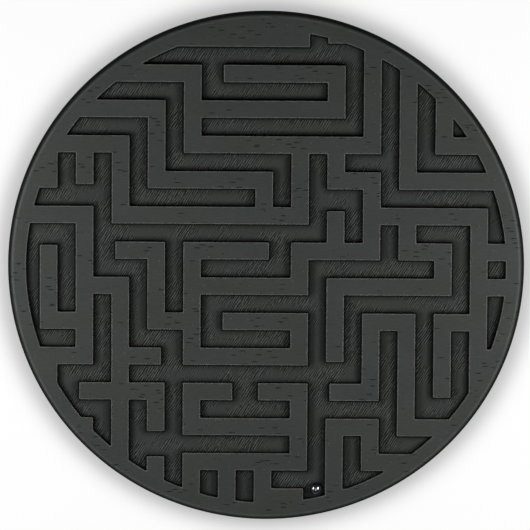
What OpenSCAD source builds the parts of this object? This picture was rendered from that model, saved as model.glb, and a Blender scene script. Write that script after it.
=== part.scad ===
// Round tilt maze game: a solid base disc, a maze sheet cut right through and glued on top of it,
// and one steel ball that rolls along the channels when the board is tilted.
// The origin is the centre of the underside, +Z is up, +Y is the far side of the board.

/* [Board] */
// Diameter of the round board
board_d = 200; // [150:1:300]
// Thickness of the sheet that the maze is cut from, which is also the depth of the channels
maze_t = 3; // [2.8:0.1:6]
// Thickness of the solid sheet underneath, which is the floor of the channels
base_t = 3; // [2.8:0.1:8]
// Radius of the rounded upper outer edge
top_edge_r = 2.4; // [0.5:0.1:2.6]
// Radius of the rounded lower outer edge
bottom_edge_r = 2.4; // [0.5:0.1:2.6]
// Width of the shallow groove where the two sheets meet at the outer edge
seam_w = 0.3; // [0.1:0.05:0.6]

/* [Maze] */
// Number of channel-to-channel steps that fit across the board
steps_across = 14.41; // [14:0.01:15]
// Width of a channel as a share of one step, the rest of the step is wall
channel_share = 0.512; // [0.45:0.001:0.58]
// Width of the uncut rim as a share of one step
rim_share = 0.504; // [0.4:0.001:0.7]
// How far each free wall end stops short of the next channel, as a share of one step
end_share = 0.105; // [0:0.005:0.2]
// Column of the maze that the board's centre lies on
centre_column = 6.565; // [6.4:0.005:6.7]
// Row of the maze that the board's centre lies on
centre_row = 5.965; // [5.8:0.005:6.1]

/* [Ball] */
// Diameter of the steel ball
ball_d = 4.76; // [3:0.01:4.8]
// Running clearance under the ball
ball_lift = 0.05; // [0.02:0.01:0.2]

/* [Hidden] */
$fn = 96;

// Cutters reach this far past the faces that they open
over = 1;
// Maze sizes are kept to this grid, so that neighbouring channels share exactly the same edges
grid = 0.02;
board_r = board_d / 2;
step = on_grid(board_d / steps_across);
channel_w = on_grid(channel_share * step);
wall_w = step - channel_w;
rim_inner_r = on_grid(board_r - rim_share * step);
end_gap = on_grid(end_share * step);
centre_x = on_grid(centre_column * step);
centre_y = on_grid(centre_row * step);

// The ball waits in the lower notch, at the near end of the long straight channel
ball_column = 8;
// Gap that the resting ball keeps to the rim, measured towards the board's edge
ball_rim_gap = 1;

// Channel centre lines. Each point is [column, row]: columns count from the left, rows from the far side,
// and one step is a channel and a wall. A line that runs past the rim is cut off by the rim.

// The closed room with the upper notch
notch_room = [
    [[8, -1], [8, 0]],
    [[3, 0], [9, 0]],
    [[9, -1], [9, 2], [5, 2]],
    [[5, 0], [5, 1], [8, 1]]
];

// Two stepped channels side by side at the upper left
stepped_channels = [
    [[2, 1], [4, 1], [4, 3], [7, 3], [7, 4]],
    [[1, 2], [3, 2], [3, 4], [6, 4]]
];

// The large connected room, which ends in the lower notch
main_left = [
    [[1, 3], [1, 4]],
    [[0, 4], [2, 4]],
    [[2, 3], [2, 6], [3, 6], [3, 8], [4, 8], [4, 12]],
    [[3, 9], [9, 9]],
    [[3, 10], [3, 12]],
    [[3, 11], [7, 11]],
    [[6, 9], [6, 10]],
    [[5, 10], [7, 10]]
];
main_middle = [
    [[2, 5], [8, 5]],
    [[4, 5], [4, 7]],
    [[7, 5], [7, 6], [5, 6]],
    [[8, 3], [8, 5]],
    [[8, 4], [9, 4], [9, 5]],
    [[8, 6], [8, 13]],
    [[5, 7], [8, 7]],
    [[5, 7], [5, 8], [7, 8]],
    [[7, 12], [8, 12]]
];
main_right = [
    [[8, 6], [11, 6]],
    [[10, 5], [10, 6]],
    [[9, 9], [9, 7], [12, 7], [12, 5], [11, 5]],
    [[8, 10], [10, 10]],
    [[10, 8], [10, 11], [11, 11]],
    [[11, 7], [11, 10], [12, 10], [12, 8]]
];

// Smaller rooms along the rim, each closed off from the others
left_rooms = [
    [[1, 7], [1, 5], [0, 5], [0, 8], [1, 8]],
    [[2, 7], [2, 9], [1, 9], [1, 10], [2, 10], [2, 11]]
];
right_rooms = [
    [[10, 0], [10, 4], [13, 4], [13, 5]],
    [[9, 3], [10, 3]],
    [[11, 1], [11, 3], [13, 3]],
    [[9, 11], [9, 12], [10, 12]]
];

// Single openings that join nothing
pockets = [
    [[12, 2], [12, 2]],
    [[13, 6], [13, 6]],
    [[13, 7], [13, 8]],
    [[5, 12], [5, 13]],
    [[6, 12], [6, 13]]
];

all_channels = concat(
    notch_room, stepped_channels, main_left, main_middle, main_right, left_rooms, right_rooms, pockets
);

// Free wall ends: [column, row, direction that the end points in, in degrees]
free_ends = [
    [5.5, 0.5, 180],
    [8.5, -0.5, 270],
    [1.5, 3.5, 270],
    [8.5, 4.5, 90],
    [0.5, 5.5, 90],
    [2.5, 5.5, 180],
    [6.5, 5.5, 0],
    [5.5, 7.5, 180],
    [3.5, 8.5, 0],
    [8.5, 8.5, 270],
    [1.5, 9.5, 180],
    [5.5, 9.5, 0],
    [6.5, 9.5, 180],
    [8.5, 9.5, 180],
    [11.5, 9.5, 270],
    [3.5, 10.5, 270],
    [3.5, 11.5, 90],
    [7.5, 12.5, 0]
];

function on_grid(size) = round(size / grid) * grid;

// Place of a column and of a row on the board
function column_x(c) = c * step - centre_x;
function row_y(r) = centre_y - r * step;

// Centre of the resting ball, in the long channel and just inside the rim
ball_r = ball_d / 2;
ball_x = column_x(ball_column);
ball_y = -sqrt(pow(rim_inner_r - ball_rim_gap - ball_r, 2) - pow(ball_x, 2));
ball_z = base_t + ball_lift + ball_r;

// One straight stretch of channel, square at both ends
module stretch(from, to) {
    x0 = min(column_x(from[0]), column_x(to[0]));
    x1 = max(column_x(from[0]), column_x(to[0]));
    y0 = min(row_y(from[1]), row_y(to[1]));
    y1 = max(row_y(from[1]), row_y(to[1]));
    translate([x0 - channel_w / 2, y0 - channel_w / 2])
        square([x1 - x0 + channel_w, y1 - y0 + channel_w]);
}

// A channel that turns at each point of its centre line
module channel(points) {
    for (i = [0 : len(points) - 2])
        stretch(points[i], points[i + 1]);
}

// The notch that shortens a free wall end
module end_relief(end) {
    translate([column_x(end[0]), row_y(end[1])])
        rotate(end[2])
            translate([wall_w / 2 - end_gap, -wall_w / 2])
                square([end_gap + over, wall_w]);
}

module channel_plan() {
    intersection() {
        circle(r = rim_inner_r);
        union() {
            for (points = all_channels)
                channel(points);
            for (end = free_ends)
                end_relief(end);
        }
    }
}

// A flat disc of radius board_r with one rounded corner, as a half section to be turned about Z
module rounded_section(thickness, r) {
    square([board_r - r, thickness]);
    square([board_r, thickness - r]);
    intersection() {
        square([board_r, thickness]);
        translate([board_r - r, thickness - r])
            circle(r = r);
    }
}

// Solid sheet underneath: its lower edge is rounded, its upper edge has half of the seam groove
module base_disc() {
    color([0.19, 0.19, 0.19])
        difference() {
            translate([0, 0, base_t])
                mirror([0, 0, 1])
                    rotate_extrude()
                        rounded_section(base_t, bottom_edge_r);
            rotate_extrude()
                translate([board_r, base_t])
                    rotate(45)
                        square(seam_w / sqrt(2), center = true);
        }
}

// Sheet with the maze cut right through it and a rounded upper outer edge
module maze_layer() {
    color([0.24, 0.25, 0.25])
        translate([0, 0, base_t])
            difference() {
                rotate_extrude()
                    rounded_section(maze_t, top_edge_r);
                translate([0, 0, -over])
                    linear_extrude(height = maze_t + 2 * over)
                        channel_plan();
                rotate_extrude()
                    translate([board_r, 0])
                        rotate(45)
                            square(seam_w / sqrt(2), center = true);
            }
}

module ball() {
    color([0.32, 0.33, 0.34])
        translate([ball_x, ball_y, ball_z])
            sphere(r = ball_r);
}

base_disc();
maze_layer();
ball();
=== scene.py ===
"""Looks for the round tilt maze: a black-stained wooden board with channels cut through its top sheet,
and a steel ball.

Both sheets are rebuilt here with finer edges than the frame's own meshes have. The ball keeps its own mesh.
Every point of the rebuilt meshes carries one number for worn colour and painted light and shade. On the upper
sheet it is above 0 where the stain is worn light and a highlight is painted, along the wall edges and round the
rim, and below 0 where the upright sides are painted near-black as shade. On the base it is painted shade at the
feet of the walls and on the outer side.
"""

import math

import bmesh
import bpy
import numpy as np
from mathutils import Euler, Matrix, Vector, noise
from mathutils.geometry import delaunay_2d_cdt


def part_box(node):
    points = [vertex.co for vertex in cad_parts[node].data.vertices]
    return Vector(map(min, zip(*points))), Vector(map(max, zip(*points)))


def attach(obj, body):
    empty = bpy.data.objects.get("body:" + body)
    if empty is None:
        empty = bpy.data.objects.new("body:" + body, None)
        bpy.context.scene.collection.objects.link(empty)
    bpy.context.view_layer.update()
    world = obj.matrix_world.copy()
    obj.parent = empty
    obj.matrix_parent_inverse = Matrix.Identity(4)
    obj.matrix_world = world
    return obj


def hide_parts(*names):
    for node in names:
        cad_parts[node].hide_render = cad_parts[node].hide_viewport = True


MM = 0.001

# ---------------------------------------------------------------- sizes that the frame doesn't say, in metres
# Walls of the channels
EDGE_ROUND = 0.16 * MM  # rounding along the top edges
EDGE_STEPS = 3  # faces round that rounding
EDGE_WEAR_AND_LIGHT = (1.0, 1.0, 0.7, -0.4)  # worn colour with a painted highlight round it, from the top to the side; below 0 painted shade
EDGE_ROUGH = 0.55  # share by which its inset varies along a wall
WORN_HIGHLIGHT_BAND = 0.30 * MM  # how far the worn colour and the painted highlight reach in from the rounding
SIDE_SHADE_DROP = 0.27 * MM  # depth below the top from which the side is painted near-black as shade
CORNER_ROUND = 0.28 * MM  # rounding of the upright corners
CORNER_POINTS = 5  # points round a rounded corner
CORNER_TURN = 15.0  # a smaller turn than this, in degrees, isn't rounded
STRAIGHT_TURN = 0.2  # a smaller turn than this, in degrees, counts as a straight run
LOOP_STEP = 1.3 * MM  # distance between points along a wall

# Painted shade at the feet of the walls
# Distances from the walls at which the floor has points
FOOT_RINGS = (0.2 * MM, 0.5 * MM, 0.9 * MM, 1.4 * MM, 2.0 * MM, 2.7 * MM, 3.3 * MM)
FOOT_DARK = 2.5 * MM  # how far it reaches out
FOOT_SHIFT = (0.0, 0.55 * MM)  # the painted shade reaches further along the near side of each wall than along its far side
FOOT_STRETCH = (0.74, 1.0)  # beside a wall that runs near to far it reaches further out

# Outer edge of the board
RING_POINTS = 360  # points round the board
TOP_ROUND = 2.4 * MM  # rounding of the upper edge
TOP_STEPS = 9  # faces round it
BOTTOM_ROUND = 2.4 * MM  # rounding of the lower edge
BOTTOM_STEPS = 5  # faces round it
SEAM = 0.15 * MM  # depth of the groove between the sheets
# Painted light round the upper edge, from the top to the side: above 0 painted shade, near-black on the side.
# Below 0 the worn colour is painted there as a highlight
RIM_PAINTED_LIGHT = (0.0, -0.4, -0.45, 0.3, 0.8, 1.0, 1.0, 1.0, 1.0, 1.0)
UNDERSIDE_RINGS = (0.8, 0.55, 0.3, 0.1)  # rings of points on the underside, as shares of the board's radius

SHARP = 40.0  # edges that bend more than this, in degrees, stay sharp
TOUCH = 1e-7  # points closer than this are one point of the frame's mesh
WELD = 1e-6  # points closer than this are joined in the new meshes

# ---------------------------------------------------------------- wood, paper, light and camera
TOP_WOOD = (0.0212, 0.0243, 0.0222)
FLOOR_WOOD = (0.0208, 0.0238, 0.0217)
# light worn colour, also painted as a highlight along the wall edges and round the rim
WORN_EDGE_AND_HIGHLIGHT = (0.095, 0.10, 0.095)
# near-black painted shade on the upright sides and the rim's side
SIDE_SHADE = (0.001, 0.001, 0.001)
CRACK = (0.002, 0.0025, 0.0025)
PIT = (0.004, 0.0045, 0.0045)
SPOT = (0.09, 0.095, 0.09)
FIBRE = (0.085, 0.092, 0.085)
PORE = (0.0015, 0.002, 0.002)
# near-black painted shade at the feet of the walls and on the base's outer side
FOOT_BLACK = (0.0015, 0.0015, 0.0015)
STEEL = (0.20, 0.207, 0.215)
STEEL_SCUFFED = (0.115, 0.12, 0.13)
PORE_PITCH = 0.82  # distance between neighbouring pores in the floor, in millimetres
PORE_TURN = 58.0  # direction of the floor's pores, in degrees from the board's X axis

STAGE_HALF = 2.5  # half the width of the paper under the board
STAGE_DROP = 0.02 * MM  # how far the paper lies below the board
PAPER_GLOW = 0.88
SHADOW_REACH = 4.3 * MM
SHADOW_DEPTH = 0.40  # how much of the glow is missing right beside the board

# Name, azimuth and elevation in degrees, distance, width and height in metres, power in watts
LIGHTS = (
    ("light_right", -4, 45, 0.30, 0.16, 0.11, 0.80),
    ("light_left", 184, 45, 0.30, 0.16, 0.11, 0.80),
    ("light_front", -90, 75, 1.0, 0.30, 0.50, 2.4),
)
AMBIENT = 0.03
BACKDROP = (0.9, 0.9, 0.9, 1)

CAMERA_TILT = 10.2
CAMERA_ROLL = 0.36
CAMERA_FAR = 3.0
VIEW_WIDTH = 205.188 * MM  # width of the view at the board's top
VIEW_SHIFT = (0.4065 * MM, -0.9679 * MM)  # how far the board's centre lies right of and above the view's centre
SENSOR = 36.0

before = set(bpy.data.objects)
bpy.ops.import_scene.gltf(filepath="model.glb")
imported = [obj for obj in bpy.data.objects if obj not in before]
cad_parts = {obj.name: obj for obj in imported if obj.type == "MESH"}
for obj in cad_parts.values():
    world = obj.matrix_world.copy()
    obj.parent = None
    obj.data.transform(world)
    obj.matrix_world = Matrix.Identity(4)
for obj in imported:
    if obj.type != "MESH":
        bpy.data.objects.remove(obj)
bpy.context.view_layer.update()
maze_low, maze_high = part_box("maze_layer")
base_low, base_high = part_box("base_disc")
TOP_Z = maze_high.z
SEAM_Z = base_high.z
BOARD_R = min(maze_high.x, -maze_low.x)


# ---------------------------------------------------------------- outlines taken from the frame
def top_loops(node):
    """Closed outlines, as arrays of x and y, of the flat top face of a CAD node."""
    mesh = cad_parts[node].data
    points = np.array([v.co for v in mesh.vertices])
    keys = np.round(points / TOUCH).astype(np.int64)
    _, first, same = np.unique(keys, axis=0, return_index=True, return_inverse=True)
    same = same.ravel()
    high = points[:, 2] > TOP_Z - 10 * TOUCH
    count = {}
    for face in mesh.polygons:
        ids = list(face.vertices)
        if all(high[i] for i in ids):
            ring = [same[i] for i in ids]
            for a, b in zip(ring, ring[1:] + ring[:1]):
                count[(a, b)] = count.get((a, b), 0) + 1
    after = {a: b for (a, b) in count if (b, a) not in count}
    loops = []
    while after:
        start = min(after)
        loop, at = [start], after.pop(start)
        while at != start:
            loop.append(at)
            at = after.pop(at)
        loops.append(points[first[loop]][:, :2])
    return sorted(loops, key=lambda loop: -np.ptp(loop[:, 0]))


def cross(a, b):
    return a[0] * b[1] - a[1] * b[0]


def corners_of(loop):
    """The loop's points without those that lie on a straight run."""
    kept = []
    for i in range(len(loop)):
        back = loop[i] - loop[i - 1]
        ahead = loop[(i + 1) % len(loop)] - loop[i]
        turn = math.atan2(cross(back, ahead), float(back @ ahead))
        if abs(turn) > math.radians(STRAIGHT_TURN):
            kept.append(loop[i])
    return np.array(kept)


def wobble(x, y, scale, seed):
    """Smooth noise from about -1 to 1 at a point in metres, with features about scale metres wide."""
    return noise.noise(Vector((x / scale, y / scale, seed)))


class WallLine:
    """One channel outline, with the wall on its left. ring(d) gives the same points moved d into the wall."""

    def __init__(self, loop):
        loop = corners_of(loop)
        n = len(loop)
        runs = []  # start, direction and length of each straight run
        for i in range(n):
            a, b = loop[i], loop[(i + 1) % n]
            step = b - a
            length = float(np.hypot(*step))
            runs.append((a, step / length, length))
        trims = []  # turn at the start of each run, and how much of the run its rounding takes
        for i in range(n):
            u, v = runs[i - 1][1], runs[i][1]
            turn = math.atan2(cross(u, v), float(u @ v))
            reach = 0.0
            if abs(turn) > math.radians(CORNER_TURN):
                reach = abs(CORNER_ROUND * math.tan(turn / 2))
                reach = min(reach, 0.3 * runs[i - 1][2], 0.3 * runs[i][2])
            trims.append((turn, reach))
        self.parts = []
        for i in range(n):
            a, u, length = runs[i]
            turn, reach = trims[i]
            before = runs[i - 1][1]
            self.parts.append(("corner", a, before, u, turn, reach))
            start, end = reach, length - trims[(i + 1) % n][1]
            pieces = max(1, int(round((end - start) / LOOP_STEP)))
            for k in range(1, pieces):
                self.parts.append(("run", a + u * (start + (end - start) * k / pieces), u))

    def ring(self, inset, rough=0.0):
        """Points of the outline moved into the wall by inset, which varies by the share rough."""
        made = []
        for part in self.parts:
            if part[0] == "run":
                _, p, u = part
                n = np.array((-u[1], u[0]))
                made.append(p + n * inset * self.vary(p, rough))
                continue
            _, p, u, v, turn, reach = part
            nu, nv = np.array((-u[1], u[0])), np.array((-v[1], v[0]))
            inset_here = inset * self.vary(p, rough)
            half = math.cos(turn / 2)
            middle = (nu + nv) / np.hypot(*(nu + nv))
            if reach <= 0:
                made.append(p + middle * inset_here / max(half, 0.3))
                continue
            radius = reach / abs(math.tan(turn / 2))
            side = 1.0 if turn > 0 else -1.0
            centre = p + middle * side * radius / half
            left = radius - side * inset_here
            for k in range(CORNER_POINTS):
                share = k / (CORNER_POINTS - 1)
                angle = turn * share
                c, s = math.cos(angle), math.sin(angle)
                normal = np.array((nu[0] * c - nu[1] * s, nu[0] * s + nu[1] * c))
                if left > 0:
                    made.append(centre - normal * side * left)
                else:
                    made.append(p + middle * inset_here / half)
        return np.array(made)

    @staticmethod
    def vary(p, rough):
        """Factor for the inset at one point."""
        if not rough:
            return 1.0
        fine = wobble(p[0], p[1], 2.2 * MM, 3.1)
        coarse = wobble(p[0], p[1], 14 * MM, 7.7)
        return max(0.35, 1.0 + rough * (fine + 0.8 * coarse))


# ---------------------------------------------------------------- meshes
class Shell:
    """Collects rings of points and strips of faces between them, with each point's number for worn colour and
    painted light and shade.
    """

    def __init__(self):
        self.points, self.wear_and_painted_light, self.faces = [], [], []

    def add(self, xy, z, wear_and_painted_light=0.0):
        """Adds points at one height and returns their numbers."""
        start = len(self.points)
        self.points += [(float(x), float(y), float(z)) for x, y in xy]
        self.wear_and_painted_light += list(np.broadcast_to(wear_and_painted_light, len(xy)))
        return np.arange(start, start + len(xy))

    def strip(self, lower, upper):
        """Faces between two rings that have the same number of points."""
        n = len(lower)
        for i in range(n):
            j = (i + 1) % n
            self.faces.append((lower[i], lower[j], upper[j], upper[i]))

    def fill(self, rings, up, loose=()):
        """Flat triangles between the first ring, which is outside, and the others, which are holes."""
        ids = np.concatenate([*rings, loose]).astype(int)
        flat = [Vector(self.points[i][:2]) for i in ids]
        edges, start = [], 0
        for ring in rings:
            n = len(ring)
            edges += [(start + i, start + (i + 1) % n) for i in range(n)]
            start += n
        verts, _, faces, source, _, _ = delaunay_2d_cdt(flat, edges, [], 0, TOUCH)
        back = [ids[s[0]] if s else -1 for s in source]
        at = np.array([tuple(v) for v in verts])
        tri = np.array([f for f in faces if len(f) == 3])
        centre = at[tri].mean(axis=1)
        within = np.zeros(len(tri), bool)
        for a, b in edges:
            p, q = flat[a], flat[b]
            if p.y == q.y:
                continue
            spans = (p.y > centre[:, 1]) != (q.y > centre[:, 1])
            x = p.x + (centre[:, 1] - p.y) * (q.x - p.x) / (q.y - p.y)
            within ^= spans & (centre[:, 0] < x)
        for t, keep in zip(tri, within):
            if keep:
                face = [back[i] for i in t]
                self.faces.append(tuple(face if up else face[::-1]))

    def build(self, name):
        mesh = bpy.data.meshes.new(name)
        mesh.from_pydata(self.points, [], [tuple(int(i) for i in f) for f in self.faces])
        layer = mesh.attributes.new("wear_and_painted_light", "FLOAT", "POINT")
        layer.data.foreach_set("value", np.array(self.wear_and_painted_light, np.float32))
        work = bmesh.new()
        work.from_mesh(mesh)
        bmesh.ops.remove_doubles(work, verts=work.verts, dist=WELD)
        bmesh.ops.dissolve_degenerate(work, edges=work.edges, dist=WELD)
        bmesh.ops.recalc_face_normals(work, faces=work.faces)
        work.to_mesh(mesh)
        work.free()
        for face in mesh.polygons:
            face.use_smooth = True
        mesh.set_sharp_from_angle(angle=math.radians(SHARP))
        piece = bpy.data.objects.new(name, mesh)
        bpy.context.scene.collection.objects.link(piece)
        return piece


def circle(radius):
    turn = np.arange(RING_POINTS) * 2 * math.pi / RING_POINTS
    return np.stack((np.cos(turn), np.sin(turn)), axis=1) * radius


def quarter(radius, steps):
    """Pairs (inset, drop) round a quarter of a circle, from the flat top to the upright side."""
    made = []
    for k in range(steps + 1):
        a = math.pi / 2 * k / steps
        made.append((radius * (1 - math.sin(a)), radius * (1 - math.cos(a))))
    return made


def maze_board(lines):
    """The upper sheet, with a hole for each channel outline."""
    shell = Shell()
    top_holes, bottom_holes = [], []
    for line in lines:
        worn_and_highlight = shell.add(line.ring(WORN_HIGHLIGHT_BAND + EDGE_ROUND), TOP_Z, 0.0)
        top_holes.append(worn_and_highlight)
        above = worn_and_highlight
        # Round the rounded top edge: worn colour with a painted highlight, then painted shade on its lowest
        # ring.
        for (inset, drop), wear_and_light_here in zip(quarter(EDGE_ROUND, EDGE_STEPS), EDGE_WEAR_AND_LIGHT):
            ring = shell.add(line.ring(inset, EDGE_ROUGH), TOP_Z - drop, wear_and_light_here)
            shell.strip(ring, above)
            above = ring
        # The upright sides below get near-black painted shade.
        low = shell.add(line.ring(0.0), TOP_Z - SIDE_SHADE_DROP, -1.0)
        shell.strip(low, above)
        foot = shell.add(line.ring(0.0), SEAM_Z, -1.0)
        shell.strip(foot, low)
        bottom_holes.append(foot)
    rim = []
    # Round the rim: a painted highlight where the rounding starts, then near-black painted shade down the side.
    for (inset, drop), rim_paint in zip(quarter(TOP_ROUND, TOP_STEPS), RIM_PAINTED_LIGHT):
        rim.append(shell.add(circle(BOARD_R - inset), TOP_Z - drop, -rim_paint))
    rim.append(shell.add(circle(BOARD_R), SEAM_Z + SEAM, -1.0))
    rim.append(shell.add(circle(BOARD_R - SEAM), SEAM_Z, -1.0))
    for upper, lower in zip(rim, rim[1:]):
        shell.strip(lower, upper)
    shell.fill([rim[0]] + top_holes, True)
    shell.fill([rim[-1]] + bottom_holes, False)
    return shell.build("maze_board")


def to_nearest_wall(at, loops):
    """Distance from each point to the nearest wall, which is 0 inside a wall."""
    a = np.concatenate(loops)
    along = np.concatenate([np.roll(loop, -1, axis=0) for loop in loops]) - a
    size = np.maximum((along**2).sum(axis=1), TOUCH**2)
    nearest = np.zeros(len(at))
    open_here = np.any([inside(at, loop) for loop in loops], axis=0)
    for i in np.flatnonzero(open_here):
        share = np.clip(((at[i] - a) * along).sum(axis=1) / size, 0, 1)
        gap = at[i] - a - along * share[:, None]
        nearest[i] = math.sqrt((gap**2).sum(axis=1).min())
    return nearest


def painted_foot_shade(at, loops):
    """How much painted shade each point gets, up to 1 at the foot of a wall."""
    gap = to_nearest_wall((at + FOOT_SHIFT) * FOOT_STRETCH, [loop * FOOT_STRETCH for loop in loops])
    return 1.0 - np.clip(gap / FOOT_DARK, 0.0, 1.0)


def inside(at, loop):
    """Which of the points lie inside the loop."""
    found = np.zeros(len(at), bool)
    for (ax, ay), (bx, by) in zip(loop, np.roll(loop, -1, axis=0)):
        if ay != by:
            spans = (at[:, 1] < ay) != (at[:, 1] < by)
            found ^= spans & (at[:, 0] < ax + (at[:, 1] - ay) * (bx - ax) / (by - ay))
    return found


def channel_floor(shell, lines, rim):
    """The flat top of the base. Each point's number says how much painted shade it gets near the walls."""
    loops = [line.ring(0.0) for line in lines]
    rings = [shell.add(loop, SEAM_Z, painted_foot_shade(loop, loops)) for loop in loops]
    shell.fill([rim] + rings, True)
    kept = []
    for out in FOOT_RINGS:
        at = np.concatenate([line.ring(-out) for line in lines])
        kept.append(at[to_nearest_wall(at, loops) > 0.9 * out])
    kept = np.concatenate(kept)
    loose = shell.add(kept, SEAM_Z, painted_foot_shade(kept, loops))
    for loop, ring in zip(loops, rings):
        shell.fill([ring], True, loose[inside(kept, loop)])


def base_board(lines):
    """The solid sheet underneath."""
    shell = Shell()
    profile = [(BOARD_R - SEAM, SEAM_Z), (BOARD_R, SEAM_Z - SEAM)]
    for inset, drop in reversed(quarter(BOTTOM_ROUND, BOTTOM_STEPS)):
        profile.append((BOARD_R - inset, base_low.z + drop))
    # The base's outer side gets the full painted shade, near-black.
    rings = [shell.add(circle(r), z, 1.0) for r, z in profile]
    for upper, lower in zip(rings, rings[1:]):
        shell.strip(lower, upper)
    channel_floor(shell, lines, rings[0])
    outer = rings[-1]
    for share in UNDERSIDE_RINGS:
        inner = shell.add(circle(BOARD_R * share), base_low.z)
        shell.strip(outer, inner)
        outer = inner
    hub = shell.add([(0.0, 0.0)], base_low.z)[0]
    for i in range(RING_POINTS):
        shell.faces.append((outer[i], outer[(i + 1) % RING_POINTS], hub))
    return shell.build("base_board")


# ---------------------------------------------------------------- materials
class Nodes:
    """Short names for making and joining shader nodes."""

    def __init__(self, name):
        self.material = bpy.data.materials.new(name)
        self.material.use_nodes = True
        self.tree = self.material.node_tree
        self.tree.nodes.clear()
        self.out = self.tree.nodes.new("ShaderNodeOutputMaterial")
        self.shader = self.tree.nodes.new("ShaderNodeBsdfPrincipled")
        self.tree.links.new(self.shader.outputs[0], self.out.inputs[0])
        self.place = self.tree.nodes.new("ShaderNodeTexCoord").outputs["Object"]

    def join(self, value, socket):
        if isinstance(value, (int, float, tuple)):
            socket.default_value = value
        else:
            self.tree.links.new(value, socket)

    def node(self, kind, **inputs):
        made = self.tree.nodes.new(kind)
        for key, value in inputs.items():
            self.join(value, made.inputs[key])
        return made

    def math(self, operation, a, b=0.0, c=0.0):
        made = self.tree.nodes.new("ShaderNodeMath")
        made.operation = operation
        for value, socket in zip((a, b, c), made.inputs):
            self.join(value, socket)
        return made.outputs[0]

    def stretched(self, scale, turn=0.0, shift=(0.0, 0.0, 0.0)):
        """Coordinates turned about Z by degrees, then scaled so that a feature is 1 / scale metres long."""
        turned = self.node("ShaderNodeMapping", Vector=self.place)
        turned.inputs["Rotation"].default_value = (0.0, 0.0, math.radians(-turn))
        made = self.node("ShaderNodeMapping", Vector=turned.outputs[0])
        made.inputs["Scale"].default_value = scale
        made.inputs["Location"].default_value = shift
        return made.outputs[0]

    def noise(self, place, detail=2.0, rough=0.5):
        made = self.node("ShaderNodeTexNoise", Vector=place, Scale=1.0, Detail=detail, Roughness=rough)
        return made.outputs["Fac"]

    def spots(self, place, inner, outer):
        """1 within inner of the nearest of many scattered points, 0 beyond outer."""
        made = self.tree.nodes.new("ShaderNodeTexVoronoi")
        made.voronoi_dimensions = "2D"
        self.join(place, made.inputs["Vector"])
        made.inputs["Scale"].default_value = 1.0
        return self.ramp(made.outputs["Distance"], inner, outer, 1.0, 0.0)

    def wear_and_painted_light(self):
        """The number that each point of the mesh carries."""
        made = self.tree.nodes.new("ShaderNodeAttribute")
        made.attribute_name = "wear_and_painted_light"
        return made.outputs["Fac"]

    def ramp(self, value, low, high, to_low=0.0, to_high=1.0):
        """value from low to high becomes to_low to to_high, eased at both ends."""
        made = self.tree.nodes.new("ShaderNodeMapRange")
        made.interpolation_type = "SMOOTHSTEP"
        for key, v in (("From Min", low), ("From Max", high), ("To Min", to_low), ("To Max", to_high)):
            made.inputs[key].default_value = v
        self.join(value, made.inputs["Value"])
        return made.outputs[0]

    def mix(self, share, a, b):
        made = self.tree.nodes.new("ShaderNodeMix")
        made.data_type = "RGBA"
        self.join(share, made.inputs["Factor"])
        for value, socket in ((a, made.inputs[6]), (b, made.inputs[7])):
            self.join(value + (1.0,) if isinstance(value, tuple) else value, socket)
        return made.outputs[2]

    def shade(self, colour, by):
        """Multiplies a colour by a number."""
        made = self.tree.nodes.new("ShaderNodeVectorMath")
        made.operation = "SCALE"
        self.join(colour, made.inputs[0])
        self.join(by, made.inputs["Scale"])
        return made.outputs[0]

    def bump(self, height, distance, strength):
        made = self.node("ShaderNodeBump", Height=height, Distance=distance, Strength=strength)
        self.join(made.outputs[0], self.shader.inputs["Normal"])


def per_mm(x, y, z=1.0):
    """Feature sizes in millimetres as texture scales."""
    return (1 / (x * MM), 1 / (y * MM), 1 / (z * MM))


def tint(n, base, seed):
    """Slow changes of hue over a few centimetres: greenish, bluish and slightly warm stain."""
    warm = n.ramp(n.noise(n.stretched(per_mm(38, 26, 40), shift=(seed, 0, 0)), 1.0), 0.42, 0.66)
    cool = n.ramp(n.noise(n.stretched(per_mm(30, 30, 40), shift=(0, seed, 3)), 1.0), 0.45, 0.68)
    r, g, b = base
    warmed = n.mix(warm, base, (r * 1.02, g * 1.00, b * 0.93))
    return n.mix(cool, warmed, (r * 0.98, g * 1.00, b * 1.05))


def painted_side_light(n):
    """How much lighter the colour is painted towards the left, right and near sides of the board, as light from
    the nearer lamps.
    """
    apart = n.node("ShaderNodeSeparateXYZ", Vector=n.place)
    across = n.math("DIVIDE", apart.outputs["X"], BOARD_R)
    along = n.math("DIVIDE", apart.outputs["Y"], BOARD_R)
    sides = n.math("MULTIPLY", n.math("MULTIPLY", across, across), 0.05)
    return n.math("ADD", sides, n.math("MULTIPLY", along, -0.02))


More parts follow.
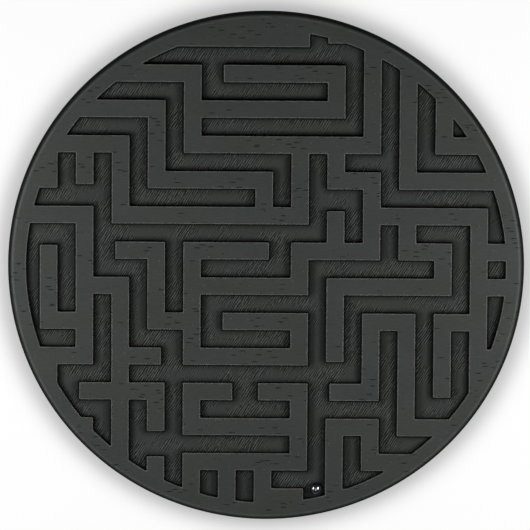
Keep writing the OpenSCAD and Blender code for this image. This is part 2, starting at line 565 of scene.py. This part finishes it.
def top_wood():
    """Fine grain that runs left to right, with short dark cracks, pits, light specks, worn edges with a painted
    highlight, near-black painted shade on the sides and painted light towards the left, right and near sides.
    """
    n = Nodes("maze_wood")
    colour = tint(n, TOP_WOOD, 4.0)
    grain = n.noise(n.stretched(per_mm(26, 1.6, 6)), 4.0, 0.65)
    fibre = n.noise(n.stretched(per_mm(3.0, 0.5, 2), shift=(2, 9, 0)), 3.0, 0.6)
    patch = n.noise(n.stretched(per_mm(24, 14, 30), shift=(7, 1, 0)), 2.0)
    tone = n.ramp(grain, 0.3, 0.7, 0.95, 1.05)
    tone = n.math("MULTIPLY", tone, n.ramp(fibre, 0.3, 0.7, 0.90, 1.10))
    tone = n.math("MULTIPLY", tone, n.ramp(patch, 0.3, 0.7, 0.95, 1.05))
    # Painted light: lighter towards the left, right and near sides.
    tone = n.math("MULTIPLY", tone, n.math("ADD", painted_side_light(n), 1.0))
    crack_line = n.spots(n.stretched(per_mm(11, 1.7, 6), shift=(1, 5, 0)), 0.06, 0.15)
    crack_place = n.noise(n.stretched(per_mm(17, 9, 30), shift=(3, 2, 0)), 2.0)
    crack = n.math("MULTIPLY", crack_line, n.ramp(crack_place, 0.51, 0.59))
    spot = n.spots(n.stretched(per_mm(8.0, 7.0, 5.0), shift=(0.3, 0.7, 0)), 0.01, 0.045)
    spot_place = n.ramp(n.noise(n.stretched(per_mm(30, 30, 30), shift=(9, 4, 0)), 1.0), 0.50, 0.62)
    spot = n.math("MULTIPLY", spot, spot_place)
    pit = n.spots(n.stretched(per_mm(9.5, 8.5, 6.3), shift=(2.3, 1.7, 0)), 0.015, 0.05)
    pit = n.math("MULTIPLY", pit, n.ramp(crack_place, 0.50, 0.56))
    # Above 0: worn colour with a painted highlight. Below 0: near-black painted shade.
    wear_and_painted_light = n.wear_and_painted_light()
    wear_and_highlight_where = n.noise(n.stretched(per_mm(3.5, 3.5, 3.5)), 3.0, 0.65)
    worn_and_highlight = n.math("MAXIMUM", wear_and_painted_light, 0.0)
    worn_and_highlight = n.math("MULTIPLY", worn_and_highlight, n.ramp(wear_and_highlight_where, 0.32, 0.66, 0.45, 1.0))
    side_shade = n.math("MAXIMUM", n.math("MULTIPLY", wear_and_painted_light, -1.0), 0.0)
    colour = n.shade(colour, tone)
    colour = n.mix(n.math("MULTIPLY", crack, 0.95), colour, CRACK)
    colour = n.mix(n.math("MULTIPLY", pit, 0.7), colour, PIT)
    colour = n.mix(n.math("MULTIPLY", spot, 0.5), colour, SPOT)
    # worn edges with a painted highlight
    colour = n.mix(n.math("MULTIPLY", worn_and_highlight, 0.66), colour, WORN_EDGE_AND_HIGHLIGHT)
    # near-black painted shade on the upright sides and the rim's side
    colour = n.mix(n.math("MULTIPLY", side_shade, 0.92), colour, SIDE_SHADE)
    n.join(colour, n.shader.inputs["Base Color"])
    rough = n.math("MULTIPLY_ADD", side_shade, 0.4, n.ramp(grain, 0.3, 0.7, 0.46, 0.56))
    n.join(rough, n.shader.inputs["Roughness"])
    n.shader.inputs["Specular IOR Level"].default_value = 0.13
    height = n.math("MULTIPLY", fibre, 0.35)
    height = n.math("SUBTRACT", height, n.math("MAXIMUM", crack, pit))
    n.bump(height, 0.10 * MM, 0.7)
    return n.material


def floor_wood():
    """Open-grained wood: long thin pores that run up to the right, with a raised fibre beside each, and painted
    shade at the feet of the walls and on the outer side.
    """
    n = Nodes("base_wood")
    colour = tint(n, FLOOR_WOOD, 1.5)
    pitch = n.stretched(per_mm(PORE_PITCH, PORE_PITCH), turn=PORE_TURN)
    across = n.node("ShaderNodeSeparateXYZ", Vector=pitch)
    drift = n.noise(n.stretched(per_mm(7, 2.6, 30), turn=PORE_TURN), 2.0, 0.5)
    phase = n.math("MULTIPLY_ADD", across.outputs["Y"], 2 * math.pi, n.math("MULTIPLY", drift, 9.0))
    line = n.math("SINE", phase)
    broken = n.noise(n.stretched(per_mm(2.4, 0.8, 30), turn=PORE_TURN, shift=(5, 3, 0)), 1.0)
    dense = n.noise(n.stretched(per_mm(13, 10, 30), shift=(6, 2, 0)), 2.0, 0.6)
    dense = n.math("MULTIPLY", n.ramp(dense, 0.40, 0.58, 0.12, 1.0), n.ramp(broken, 0.42, 0.52))
    pore = n.math("MULTIPLY", n.ramp(line, -0.75, -0.15, 1.0, 0.0), dense)
    ridge = n.math("MULTIPLY", n.ramp(line, 0.15, 0.85), dense)
    fine = n.noise(n.stretched(per_mm(2.0, 0.45, 3), turn=PORE_TURN, shift=(4, 4, 0)), 3.0, 0.6)
    patch = n.noise(n.stretched(per_mm(16, 16, 30), shift=(1, 8, 0)), 2.0)
    tone = n.math("MULTIPLY", n.ramp(fine, 0.3, 0.7, 0.90, 1.10), n.ramp(patch, 0.3, 0.7, 0.93, 1.07))
    # The mesh number here is painted shade at the feet of the walls and on the base's outer side.
    foot = n.wear_and_painted_light()
    tone = n.math("MULTIPLY", tone, n.math("MULTIPLY_ADD", foot, -0.72, 1.0))
    colour = n.shade(colour, tone)
    colour = n.mix(n.math("MULTIPLY", ridge, 0.46), colour, FIBRE)
    colour = n.mix(n.math("MULTIPLY", pore, 0.95), colour, PORE)
    # near-black painted shade right at the feet of the walls
    colour = n.mix(n.ramp(foot, 0.68, 0.86), colour, FOOT_BLACK)
    n.join(colour, n.shader.inputs["Base Color"])
    n.join(n.ramp(patch, 0.3, 0.7, 0.5, 0.62), n.shader.inputs["Roughness"])
    n.shader.inputs["Specular IOR Level"].default_value = 0.08
    height = n.math("SUBTRACT", n.math("MULTIPLY", fine, 0.25), pore)
    n.bump(height, 0.20 * MM, 0.8)
    return n.material


def steel():
    """Dark steel with dull scuffs and fine scratches."""
    n = Nodes("ball_steel")
    scuff = n.noise(n.stretched(per_mm(0.9, 0.9, 0.9)), 4.0, 0.65)
    line = n.noise(n.stretched(per_mm(2.5, 0.08, 0.6), turn=25), 2.0)
    colour = n.mix(n.ramp(scuff, 0.35, 0.7), STEEL, STEEL_SCUFFED)
    n.join(colour, n.shader.inputs["Base Color"])
    n.shader.inputs["Metallic"].default_value = 1.0
    rough = n.math("ADD", n.ramp(scuff, 0.3, 0.75, 0.16, 0.34), n.ramp(line, 0.6, 0.72, 0.0, 0.12))
    n.join(rough, n.shader.inputs["Roughness"])
    n.bump(line, 0.004 * MM, 0.3)
    return n.material


def floor_paper():
    """White paper on a light table. The glow is weaker near the board, as a soft shadow all round it."""
    n = Nodes("floor_paper")
    fine = n.noise(n.stretched(per_mm(1.5, 1.5, 1.5)), 2.0)
    n.join(n.mix(fine, (0.07, 0.07, 0.07), (0.08, 0.08, 0.08)), n.shader.inputs["Base Color"])
    n.shader.inputs["Roughness"].default_value = 1.0
    n.shader.inputs["Specular IOR Level"].default_value = 0.0
    from_centre = n.node("ShaderNodeVectorMath")
    from_centre.operation = "LENGTH"
    n.join(n.place, from_centre.inputs[0])
    out = n.math("SUBTRACT", from_centre.outputs["Value"], BOARD_R)
    near = n.math("DIVIDE", n.math("MULTIPLY", out, out), -2.0 * SHADOW_REACH**2)
    shadow = n.math("MULTIPLY", n.math("EXPONENT", near), SHADOW_DEPTH)
    glow = n.math("MULTIPLY_ADD", shadow, -1.0, PAPER_GLOW)
    n.shader.inputs["Emission Color"].default_value = (1.0, 1.0, 1.0, 1.0)
    n.join(glow, n.shader.inputs["Emission Strength"])
    return n.material


# ---------------------------------------------------------------- pieces
walls = [WallLine(loop) for loop in top_loops("maze_layer")[1:]]

maze = maze_board(walls)
maze.data.materials.append(top_wood())
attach(maze, "board")
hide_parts("maze_layer")

base = base_board(walls)
base.data.materials.append(floor_wood())
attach(base, "board")
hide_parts("base_disc")

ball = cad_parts["ball"]
ball.data.materials.clear()
ball.data.materials.append(steel())

floor_mesh = bpy.data.meshes.new("floor")
corners = [(x * STAGE_HALF, y * STAGE_HALF, 0) for x, y in ((-1, -1), (1, -1), (1, 1), (-1, 1))]
floor_mesh.from_pydata(corners, [], [(0, 1, 2, 3)])
floor = bpy.data.objects.new("floor", floor_mesh)
floor.location.z = -STAGE_DROP
bpy.context.scene.collection.objects.link(floor)
floor.data.materials.append(floor_paper())


# ---------------------------------------------------------------- light and camera
def panel(name, azimuth, elevation, distance, width, height, power):
    """A soft rectangular light that faces the board. Azimuth 0 is the right-hand side, 90 the far side."""
    lamp = bpy.data.lights.new(name, "AREA")
    lamp.shape = "RECTANGLE"
    lamp.size, lamp.size_y = width, height
    lamp.energy = power
    held = bpy.data.objects.new(name, lamp)
    a, e = math.radians(azimuth), math.radians(elevation)
    at = Vector((math.cos(e) * math.cos(a), math.cos(e) * math.sin(a), math.sin(e))) * distance
    held.location = at
    held.rotation_euler = at.to_track_quat("Z", "Y").to_euler()
    bpy.context.scene.collection.objects.link(held)


for light in LIGHTS:
    panel(*light)

world = bpy.data.worlds.new("studio")
bpy.context.scene.world = world
world.use_nodes = True
sky = world.node_tree
sky.nodes["Background"].inputs["Color"].default_value = (1, 1, 1, 1)
sky.nodes["Background"].inputs["Strength"].default_value = AMBIENT
backdrop = sky.nodes.new("ShaderNodeBackground")
backdrop.inputs["Color"].default_value = BACKDROP
chosen = sky.nodes.new("ShaderNodeMixShader")
sky.links.new(sky.nodes.new("ShaderNodeLightPath").outputs["Is Camera Ray"], chosen.inputs[0])
sky.links.new(sky.nodes["Background"].outputs[0], chosen.inputs[1])
sky.links.new(backdrop.outputs[0], chosen.inputs[2])
sky.links.new(chosen.outputs[0], sky.nodes["World Output"].inputs[0])

camera = bpy.data.cameras.new("camera")
camera.sensor_width = SENSOR
camera.lens = camera.sensor_width * CAMERA_FAR / VIEW_WIDTH
camera.clip_end = 20.0
eye = bpy.data.objects.new("camera", camera)
tilt = Euler((math.radians(-CAMERA_TILT), 0, 0)).to_matrix()
roll = Euler((0, 0, math.radians(CAMERA_ROLL))).to_matrix()
turned = tilt @ roll
aim = Vector((0, 0, TOP_Z)) - turned @ Vector((*VIEW_SHIFT, 0))
eye.rotation_euler = turned.to_euler()
eye.location = aim + turned @ Vector((0, 0, CAMERA_FAR))
bpy.context.scene.collection.objects.link(eye)
bpy.context.scene.camera = eye
bpy.context.scene.view_settings.view_transform = "Standard"
